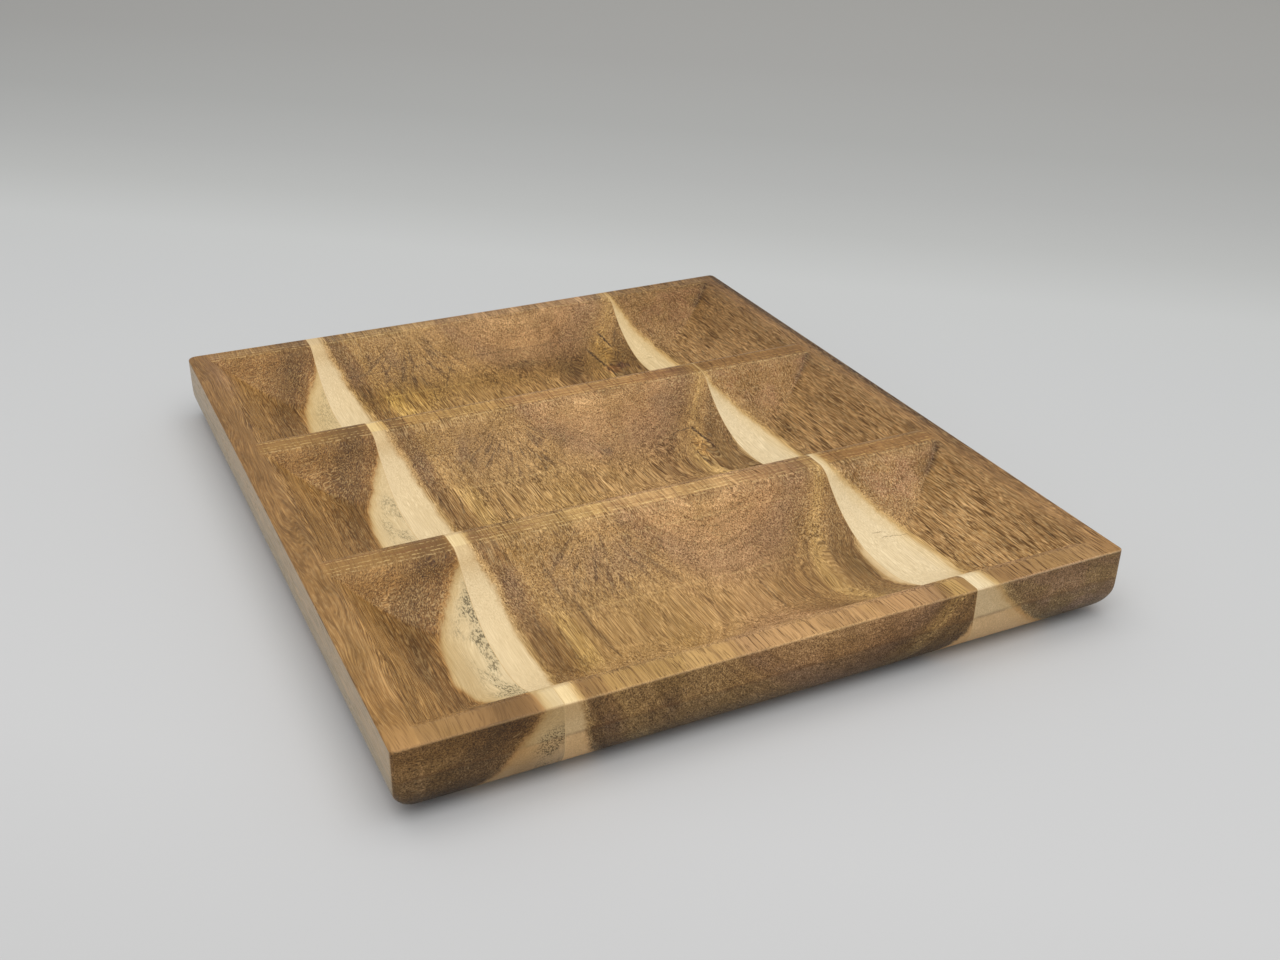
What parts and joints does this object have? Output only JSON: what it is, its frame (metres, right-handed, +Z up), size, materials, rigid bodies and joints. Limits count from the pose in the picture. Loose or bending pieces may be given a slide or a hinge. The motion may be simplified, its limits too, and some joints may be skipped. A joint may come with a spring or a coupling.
{
  "type": "divided serving tray",
  "caption": "Flat wooden serving tray with long coved pockets side by side, split by low dividers at rim height.",
  "frame": {"origin": "middle of the flat underside", "axes": "+Z up out of the pockets, +Y from the front edge to the back along the grain, +X to the right along the pockets"},
  "size_m": [0.29, 0.33, 0.03],
  "materials": {
    "left_board_wood": "oiled, satin",
    "centre_board_wood": "oiled, satin",
    "right_board_wood": "oiled, satin",
    "cured_glue": "satin"
  },
  "bodies": {
    "root": {"left_board": "left_board_wood", "centre_board": "centre_board_wood", "right_board": "right_board_wood", "left_glue_line": "cured_glue", "right_glue_line": "cured_glue"}
  },
  "joints": []
}
